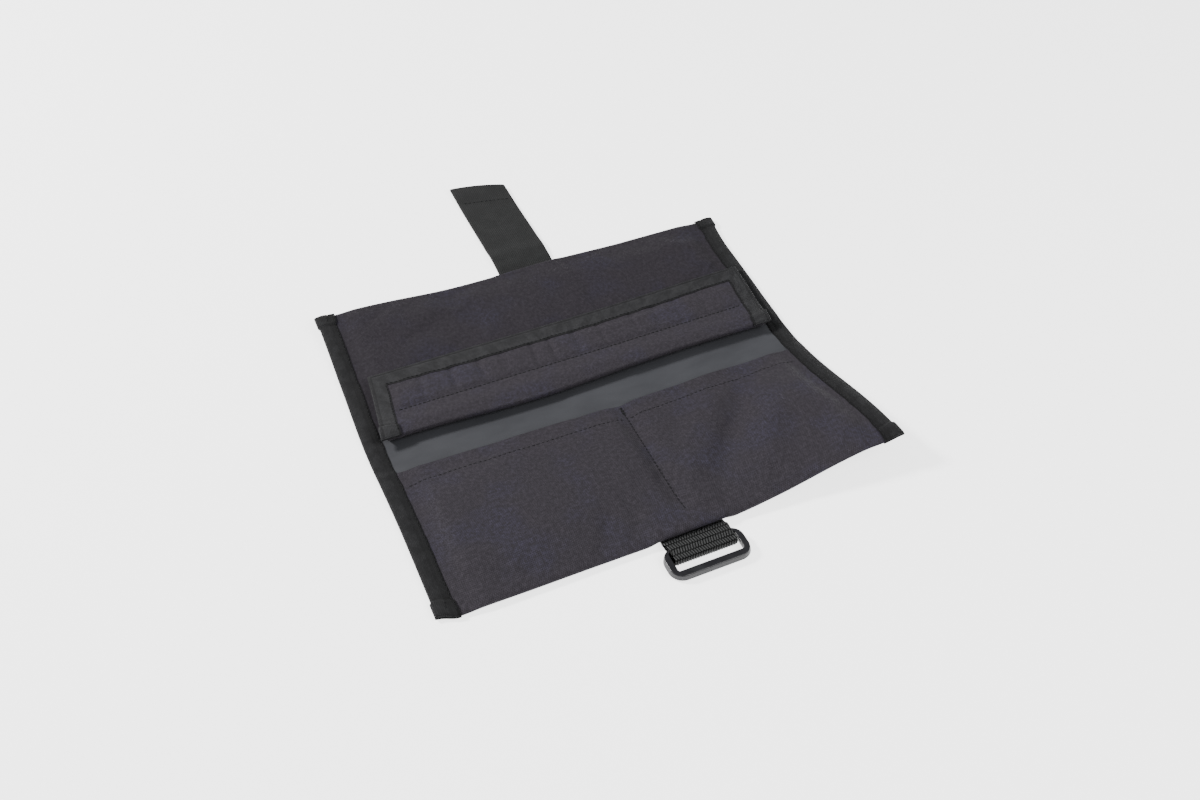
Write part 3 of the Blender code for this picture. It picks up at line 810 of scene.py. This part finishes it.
def tape_surface(along, place, top_z, bottom_z, width, crease, seed):
    """Outer face of a tape folded round an edge, and creased along its top at a share of its width.

    Place gives x and y along the edge at an inset from it. The tape puckers along its inner edge, and
    each end is folded under, so it is thicker and wider there.
    """
    from_end = np.minimum(along, along[-1] - along)
    near_end = np.clip(1 - from_end / 1.6, 0, 1)
    closing = 0.3 + 0.7 * np.sqrt(1 - near_end**2)
    folded_end = smooth((TAPE_END - from_end) / 1.5)
    puckers = ripple(along, 0, 11.0, seed)
    wander = 0.55 * puckers + 0.3 * ripple(along, 0, 40.0, seed + 1) + 0.9 * folded_end
    fullness = 1 + 0.5 * ripple(along, 0, 17.0, seed + 2)
    radius = 1.7
    columns = []
    for share, side in tape_section():
        outer = radius * (1 - math.sqrt(1 - side * side)) - folded_end
        inset = outer + (width + wander + folded_end - radius) * share
        x, y = place(inset)
        top, bottom = top_z(x, y) + 0.6 * folded_end, bottom_z(x, y)
        z = (top + bottom) / 2 + (top - bottom) / 2 * closing * side
        if side == 1.0:
            bulge = 0.45 * math.sin(math.pi * min(share / crease, 1.0)) * fullness
            slope = -0.4 * smooth((share - crease) / (1 - crease)) * (1 + 0.5 * puckers)
            z = z + closing * (bulge + slope - 0.35 * bell((share - crease) / 0.06))
        columns.append(np.stack([x, y, z], 1))
    points = np.stack(columns, 1)
    return Surface(along, travelled(points[len(along) // 2]), points)


def tape_painted_shade(along, crease, inner):
    """How light the tape is painted: painted shade in its crease, along its stitched inner edge and
    where its ends turn.

    The part inside the crease gets painted shade, darker by the given share.
    """
    share = np.array([share * (side == 1.0) for share, side in tape_section()])
    section = inner * smooth((share - crease) / 0.08) + 0.6 * bell((share - crease) / 0.07)
    edge = 0.8 * smooth((share - 0.84) / 0.08)
    from_end = np.minimum(along, along[-1] - along)
    return 1 - section - edge - 0.6 * bell((from_end - TAPE_END - 0.5) / 0.7)[:, None]


def build_side_binding(side, word, tape, thread):
    """Tape folded round one side edge, over the pockets and the lining between them."""
    along = spread(0, 2 * TAPE_END_Y, 0.75)

    def place(inset):
        return side * (EDGE_X - inset + 0 * along), side * (along - TAPE_END_Y)

    def top_z(x, y):
        pocket = np.maximum(smooth((FRONT_MOUTH_Y + 2 - y) / 5), smooth((y - REAR_MOUTH_Y + 2) / 5))
        stack = SHELL_Z + CLOTH + LINING + 0.3 + (CLOTH + 0.1) * pocket
        return stack + TAPE + 0.15 * ripple(y, 0, 45.0, 51) + curl(x, y)

    def bottom_z(x, y):
        return 0.02 + curl(x, y)

    width = BINDING_WIDTH - 0.9
    crease = 0.62
    surface = lay(tape_surface(along, place, top_z, bottom_z, width, crease, 60 + 5 * side))
    # Its crown holds the painted shade: in the crease, inside it, along the inner edge and at the turned
    # ends.
    piece = sheet(f"{word}_side_binding", surface, TAPE * 0.9, tape, tape_painted_shade(along, crease, 0.55))
    over_main_fold(dress(piece, "binding_tape", f"{word}_front_binding", f"{word}_rear_binding"))
    row = surface.v[-1] - (width - BINDING_STITCH)
    backtack = surface.v[-1] - 0.42 * width
    paths = [[(3.0, row), (along[-1] - 3.0, row)]]
    paths += [[(start, backtack), (start + 8.0, backtack - 1.0)] for start in (2.0, along[-1] - 11.0)]
    piece = seam(f"{word}_side_binding_stitches", surface, paths, thread)
    nodes = (f"{word}_front_binding_stitching", f"{word}_rear_binding_stitching")
    over_main_fold(dress(piece, "sewing_thread", *nodes))


# The flap -------------------------------------


def flap_nose_y(x):
    """The front of the flap's fold, bowed a little towards the front left of its middle."""
    return 1.8 - 3.2 * bell((x + 30) / 55) + 0.35 * ripple(x, 0, 55.0, 61)


def flap_cloth_surface():
    """Outer face of the flap's cloth: its sewn tail, the slope under its fold, its nose, and its top."""
    x = spread(3.0 - FLAP_X, FLAP_X - 3.0, 1.3)
    nose_y, radius, undercut = flap_nose_y(x), 1.9, 6.0
    nose_z = flap_z(x, nose_y + radius) - radius
    tail_start = FLAP_TAIL_Y - 2
    tail_z = lining_z(x, FLAP_TAIL_Y) + 0.12
    slope_y, slope_z = nose_y + radius * (1 - math.cos(0.7)), nose_z - radius * math.sin(0.7)
    rows = []
    for share in np.linspace(0, 1, 6)[:-1]:
        rows.append(np.stack([x, tail_start + (slope_y + undercut - tail_start) * share, tail_z], 1))
    for share in np.linspace(0, 1, 10)[:-1]:
        z = tail_z + (slope_z - tail_z) * (0.5 * share + 0.5 * smooth(share))
        rows.append(np.stack([x, slope_y + undercut * (1 - share), z], 1))
    for angle in np.linspace(-0.7, math.pi / 2, 10):
        y = nose_y + radius * (1 - math.cos(angle))
        rows.append(np.stack([x, y, nose_z + radius * math.sin(angle)], 1))
    for share in np.linspace(0, 1, 44)[1:]:
        y = nose_y + radius + (FLAP_BACK_Y - 2.5 - nose_y - radius) * share
        rows.append(np.stack([x, y, flap_z(x, y)], 1))
    points = np.stack(rows, 1)
    return lay_flap(Surface(x, travelled(points[len(x) // 2]), points))


def over_flap_hinge(piece):
    """Bakes the piece's transform into its mesh."""
    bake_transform(piece)


def build_flap_cloth(cloth):
    piece = sheet("flap_cloth", flap_cloth_surface(), CLOTH, cloth)
    over_flap_hinge(dress(piece, "woven_cloth", "flap", "flap_base_strip"))


def build_flap_binding(tape, thread):
    """Tape round the flap's right side, back and left side, mitred at the two back corners."""
    first_y = 1.2
    side, back = FLAP_BACK_Y - first_y, 2 * FLAP_X
    along = spread(0, 2 * side + back, 0.75)
    turned = np.clip((along - side) / back, 0, 1)
    reached = np.clip(np.minimum(along, along[-1] - along) / side, 0, 1)

    def place(inset):
        return (FLAP_X - inset) * (1 - 2 * turned), first_y + (side - inset) * reached

    def top_z(x, y):
        return flap_z(x, y) + TAPE

    def bottom_z(x, y):
        return flap_z(x, y) - CLOTH - TAPE

    width = FLAP_BINDING_WIDTH + 1.2 * smooth(4 * turned) * smooth(4 - 4 * turned)
    # Near the outer edge, the crease's painted shade stands for the shadow where the tape meets the
    # cloth beneath.
    crease = 0.05
    surface = lay_flap(tape_surface(along, place, top_z, bottom_z, width, crease, 71))
    # Its crown holds the painted shade: in the crease, along the inner edge and at the turned ends.
    piece = sheet("flap_edge_binding", surface, TAPE * 0.9, tape, tape_painted_shade(along, crease, 0.0))
    over_flap_hinge(dress(piece, "binding_tape", "flap_binding"))
    row = surface.v[-1] - (FLAP_BINDING_WIDTH - FLAP_BINDING_STITCH)
    piece = seam("flap_binding_stitches", surface, [[(2.0, row), (along[-1] - 2.0, row)]], thread)
    over_flap_hinge(dress(piece, "sewing_thread", "flap_binding_stitching"))


def build_flap_fastener(thread, hooks):
    """The hook tape under the flap, the row that sews it on, and the row through the flap's tail."""
    x, y = over_node("flap_hook_strip", 2.0, 3.0)
    strip = lying(x, y, lambda x, y: flap_z(x, y) - CLOTH - 0.05)
    piece = sheet("flap_hook_tape", lay_flap(strip), STRIP, hooks)
    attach(dress(piece, "hook_and_loop", "flap_hook_strip"), "flap")
    top = lay_flap(lying(x, spread(FLAP_STITCH_Y - 4, FLAP_STITCH_Y + 4, 1.0), flap_z))
    row = [(x[0], FLAP_STITCH_Y), (x[-1], FLAP_STITCH_Y)]
    piece = seam("flap_fastener_stitches", top, [row], thread, 0.1)
    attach(dress(piece, "sewing_thread", "flap_hook_stitching"), "flap")
    row_y = middle("flap_base_stitching", 1)
    tail = lying(x, spread(row_y - 4, row_y + 4, 2.0), lambda x, y: lining_z(x, y) + CLOTH + 0.12)
    piece = seam("flap_tail_stitches", tail, [[(x[0], row_y), (x[-1], row_y)]], thread)
    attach(dress(piece, "sewing_thread", "flap_base_stitching"), "rear_half")


# Webbing --------------------------------------


def selvedge(from_edge):
    """How far webbing is rounded down near its two edges."""
    return -0.3 * (1 - smooth(from_edge / 1.2))


def ribs(x):
    return 0.09 * np.cos(math.tau * x / RIB_PITCH)


def strap_z(x, y):
    """Upper face of the webbing: flat under the pouch, then clear of the table, arched at its tip."""
    climb = smooth((y - BACK_Y + 2) / (STRAP_HINGE_Y - BACK_Y))
    across = (x - STRAP_X) / STRAP_HALF_WIDTH
    arch = (0.3 + 1.3 * (1 - across**2)) * smooth((y - STRAP_TIP_Y + 32) / 32) ** 1.5
    hump = 1.1 * bell((y - STRAP_HINGE_Y - 8) / 7)
    wave = 0.25 * np.sin((y - STRAP_HINGE_Y) / 13) * smooth((y - STRAP_HINGE_Y - 6) / 20)
    edge = selvedge(STRAP_HALF_WIDTH - np.abs(x - STRAP_X))
    return WEBBING + STRAP_Z * climb + arch + hump + wave + edge + ribs(x)


def lay_strap(surface):
    """A strap's surface moved to where it really lies: its end is cut a little askew."""
    x, y, z = np.moveaxis(surface.points, 2, 0)
    askew = 2.2 + 5.2 * (x - STRAP_X) / STRAP_HALF_WIDTH
    moved_y = y - askew * smooth((y - STRAP_TIP_Y + 70) / 70)
    return Surface(surface.u, surface.v, np.stack([x, moved_y, z], 2))


def webbing_surface(start_y, end_y, step):
    x = spread(STRAP_X - STRAP_HALF_WIDTH, STRAP_X + STRAP_HALF_WIDTH, 0.34)
    return lay_strap(lying(x, spread(start_y, end_y, step), strap_z))


def build_strap(webbing, thread):
    """Webbing in three lengths: across the underside, and over each of the strap's two folds."""
    under_y = BACK_Y - 3
    root_bend, tip_bend = 6, 7.5
    join_y = (STRAP_HINGE_Y + STRAP_FOLD_Y) / 2 - 3
    piece = sheet("under_webbing", webbing_surface(FRONT_Y + 5, under_y, 2.0), WEBBING - 0.1, webbing)
    over_main_fold(dress(piece, "webbing", "front_webbing", "rear_webbing"))
    piece = sheet("strap_root", webbing_surface(under_y, join_y, 0.8), WEBBING - 0.1, webbing)
    dress(piece, "webbing")
    across_joint(piece, STRAP_HINGE_Y - root_bend)
    surface = webbing_surface(join_y, STRAP_TIP_Y, 0.8)
    piece = sheet("strap_end", surface, WEBBING - 0.1, webbing)
    dress(piece, "webbing", "strap", "strap_tip")
    across_joint(piece, STRAP_FOLD_Y - tip_bend)
    row_y = middle("strap_tip_stitching", 1)
    left, right = low("strap_tip_stitching", 0), high("strap_tip_stitching", 0)
    piece = seam("strap_tip_stitches", surface, [[(left, row_y), (right, row_y)]], thread, 0.05)
    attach(dress(piece, "sewing_thread", "strap_tip_stitching"), "strap_tip")


def build_strap_patch(node, body, material):
    """Fastener tape on the strap's underside."""
    x, y = over_node(node, 2.0, 2.0)
    surface = lay_strap(lying(x, y, lambda x, y: strap_z(x, y) - ribs(x) - WEBBING - 0.05))
    piece = sheet(f"{node}_pile", surface, STRIP, material)
    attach(dress(piece, "hook_and_loop", node), body)


def herringbone(u, v):
    """Height, from 0 to 1, of slanting yarns that change direction from one band to the next."""
    band = np.floor(v / HERRINGBONE_BAND)
    slant = np.where(band % 2 == 0, 1.0, -1.0)
    within = v / HERRINGBONE_BAND - band
    yarn = np.abs(np.sin(math.pi * (u / HERRINGBONE_PITCH + slant * within * 0.6)))
    edge = smooth(np.minimum(within, 1 - within) / 0.14)
    return yarn**0.8 * (0.25 + 0.75 * edge)


def tab_path():
    """The tab's outer face as (y, z): from under the pouch, round the bar, and back over itself."""
    start_y, slack, reach, rise = FRONT_Y + 5, 7.2, 2.0, BAR_RADIUS + WEBBING
    turn_y, folded_top = BAR_Y - slack, 2 * WEBBING + 0.1
    path = [(start_y, BAR_Z - rise), (turn_y, BAR_Z - rise)]
    for angle in np.linspace(-math.pi / 2, math.pi / 2, 24)[1:]:
        path.append((turn_y - reach * math.cos(angle), BAR_Z + rise * math.sin(angle)))
    for share in np.linspace(0, 1, 16):
        y = BAR_Y + 3.0 + (TAB_HINGE_Y + 0.5 - BAR_Y - 3.0) * share
        path.append((y, BAR_Z + rise + (folded_top - BAR_Z - rise) * smooth(share)))
    return np.array(path + [(start_y - 1.0, folded_top)])


def over_tab_fold(piece):
    """Hands across_joint the tab's hinge y; the piece's transform is only baked."""
    across_joint(piece, TAB_HINGE_Y)


def build_tab(heavy, thread):
    path = tab_path()
    u = spread(0, 2 * STRAP_HALF_WIDTH, 0.25)
    v = spread(0, travelled(path)[-1], 0.4)
    y = np.interp(v, travelled(path), path[:, 0])
    z = np.interp(v, travelled(path), path[:, 1])
    grid_u, grid_v = np.meshgrid(u, v, indexing="ij")
    pinched = 1 - 0.03 * smooth((TAB_HINGE_Y - y) / (TAB_HINGE_Y - BAR_Y))
    x = STRAP_X + (grid_u - STRAP_HALF_WIDTH) * pinched
    flat = Surface(u, v, np.stack([x, np.broadcast_to(y, x.shape), np.broadcast_to(z, x.shape)], 2))
    crown = herringbone(grid_u, grid_v)
    relief = selvedge(np.minimum(grid_u, 2 * STRAP_HALF_WIDTH - grid_u)) + 0.45 * (crown - 1)
    woven = Surface(u, v, flat.points + flat.normals() * relief[..., None])
    # The yarns' heights also go to the material as its crown, for its painted light and shade.
    piece = sheet("ring_tab_loop", woven, WEBBING - 0.35 + relief[..., None], heavy, crown)
    over_tab_fold(dress(piece, "webbing", "ring_tab"))
    front = np.argmin(y)
    row = np.interp(middle("ring_tab_stitching", 1), y[front:], v[front:])
    ends = [(end("ring_tab_stitching", 0) - x[0, 0], row) for end in (low, high)]
    piece = seam("ring_tab_stitches", flat, [ends], thread, 0.1)
    over_tab_fold(dress(piece, "sewing_thread", "ring_tab_stitching"))


# The ring -------------------------------------


def rounded_outline(x_reach, y_back, y_front, radius):
    """A rounded rectangle as points round STRAP_X, with the same count for every size."""
    corners = (
        (STRAP_X + x_reach - radius, y_back - radius, 0.0),
        (STRAP_X - x_reach + radius, y_back - radius, 90.0),
        (STRAP_X - x_reach + radius, y_front + radius, 180.0),
        (STRAP_X + x_reach - radius, y_front + radius, 270.0),
    )
    arcs = []
    for x, y, start in corners:
        angles = np.radians(np.linspace(start, start + 90, 11))
        arcs.append([np.array((x + radius * math.cos(a), y + radius * math.sin(a))) for a in angles])
    outline = []
    for arc, following in zip(arcs, arcs[1:] + arcs[:1]):
        outline += arc
        outline += [arc[-1] + (following[0] - arc[-1]) * k / 8 for k in range(1, 8)]
    return np.array(outline)


def build_ring(plastic):
    """Rectangular ring: a round inner bar for the tab, a flatter bevelled frame elsewhere."""
    front = low("rectangular_ring", 1)
    half_width = high("rectangular_ring", 0) - STRAP_X
    half_height = (high("rectangular_ring", 2) - low("rectangular_ring", 2)) / 2
    slot_back = BAR_Y - BAR_RADIUS
    outer = rounded_outline(half_width - 0.6, BAR_Y + BAR_RADIUS, front - 0.3, 8.5)
    inner = rounded_outline(half_width - 5.4, slot_back, front + 5.0, 1.2)
    along = travelled(outer)
    count, sides = len(outer), 32
    points, rest = [], []
    for outer_point, inner_point, distance in zip(outer, inner, along):
        boxy = float(smooth((slot_back + 2 - (outer_point[1] + inner_point[1]) / 2) / 4))
        # A circle for the bar. Stretched and clipped, it gives flat faces with bevelled corners.
        stretch = 1 + 0.34 * boxy
        reach_z = BAR_RADIUS + (half_height + 0.2 - BAR_RADIUS) * boxy
        for k in range(sides):
            angle = math.tau * (k + 0.5) / sides
            across = min(max(stretch * math.cos(angle), -1.0), 1.0)
            up = min(max(stretch * math.sin(angle), -1.0), 1.0)
            sloping = 0.1 * boxy * (1 + up) * (1 - across) / 2
            x, y = outer_point + (inner_point - outer_point) * (0.5 + 0.5 * across + sloping)
            points.append((x, y, BAR_Z - 0.3 * boxy + reach_z * up))
            rest.append((distance, angle * 3, 1.0))
    faces = []
    for i in range(count):
        for k in range(sides):
            here, ahead = i * sides, (i + 1) % count * sides
            faces.append((here + k, here + (k + 1) % sides, ahead + (k + 1) % sides, ahead + k))
    piece = new_mesh("ring_frame", points, faces, rest, plastic)
    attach(dress(piece, "ring_plastic", "rectangular_ring"), "ring")


# The stage ------------------------------------


def build_floor(paint):
    reach = np.array([-3000.0, 3000.0])
    sheet("floor", lying(reach, reach, lambda x, y: 0 * x - 0.1), 10.0, paint)


def area_light(name, place, size, power, colour):
    """A round soft light that shines at the pouch."""
    light = bpy.data.lights.new(name, "AREA")
    light.shape = "DISK"
    light.size = size
    light.energy = power
    light.color = colour
    lamp = new_object(name, light)
    lamp.location = place
    lamp.rotation_euler = Vector(place).to_track_quat("Z", "Y").to_euler()


def build_light():
    world = bpy.data.worlds.new("studio")
    world.use_nodes = True
    background = world.node_tree.nodes["Background"]
    background.inputs["Color"].default_value = (0.95, 0.97, 1.0, 1.0)
    background.inputs["Strength"].default_value = 0.42
    bpy.context.scene.world = world
    area_light("key_light", (-1.35, 0.95, 1.25), 0.4, 70.0, (1.0, 0.99, 0.98))
    area_light("fill_light", (0.7, -1.0, 1.2), 1.2, 24.0, (1.0, 1.0, 1.0))


def build_camera():
    """Looks down on the pouch from the front, a little from its left."""
    azimuth, elevation, distance = math.radians(-23.9), math.radians(45.7), 0.751
    target = Vector((0.0003, -0.0122, 0.0))
    level = math.cos(elevation)
    back = Vector((math.sin(azimuth) * level, -math.cos(azimuth) * level, math.sin(elevation)))
    data = bpy.data.cameras.new("camera")
    data.lens = 36.0
    data.sensor_width = 36.0
    camera = new_object("camera", data)
    camera.location = target + back * distance
    camera.rotation_euler = back.to_track_quat("Z", "Y").to_euler()
    bpy.context.scene.camera = camera


def main():
    cloth = woven_cloth("woven_cloth_look", 1.0)
    # Painted shade: the rear pocket gets the same cloth, painted darker and with less sheen and gloss.
    shaded_rear_cloth = woven_cloth("shaded_rear_woven_cloth_look", 0.8)
    tape = binding_tape("binding_tape_look", 0.74)
    flap_tape = binding_tape("flap_binding_tape_look", 1.25)
    grey, webbing, heavy = coated_lining(), strap_webbing(), tab_webbing()
    thread = sewing_thread("dark_thread_look", THREAD_BLACK)
    hem_thread = sewing_thread("hem_thread_look", shade(CHARCOAL, 0.35))
    loops = hook_and_loop("loop_pile_look", 1.0, 0.75)
    hooks = hook_and_loop("hook_tape_look", 0.4, 0.4)
    build_shell(cloth)
    build_lining(grey)
    build_front_pocket(cloth, thread, hem_thread)
    build_rear_pocket(shaded_rear_cloth, loops)
    for side, word in ((-1, "left"), (1, "right")):
        build_side_binding(side, word, tape, thread)
    build_flap_cloth(cloth)
    build_flap_binding(flap_tape, thread)
    build_flap_fastener(thread, hooks)
    build_strap(webbing, thread)
    build_strap_patch("strap_loop_patch", "strap", loops)
    build_strap_patch("strap_hook_patch", "strap_tip", hooks)
    build_tab(heavy, thread)
    build_ring(ring_plastic())
    build_floor(floor_paint())
    build_light()
    build_camera()


main()
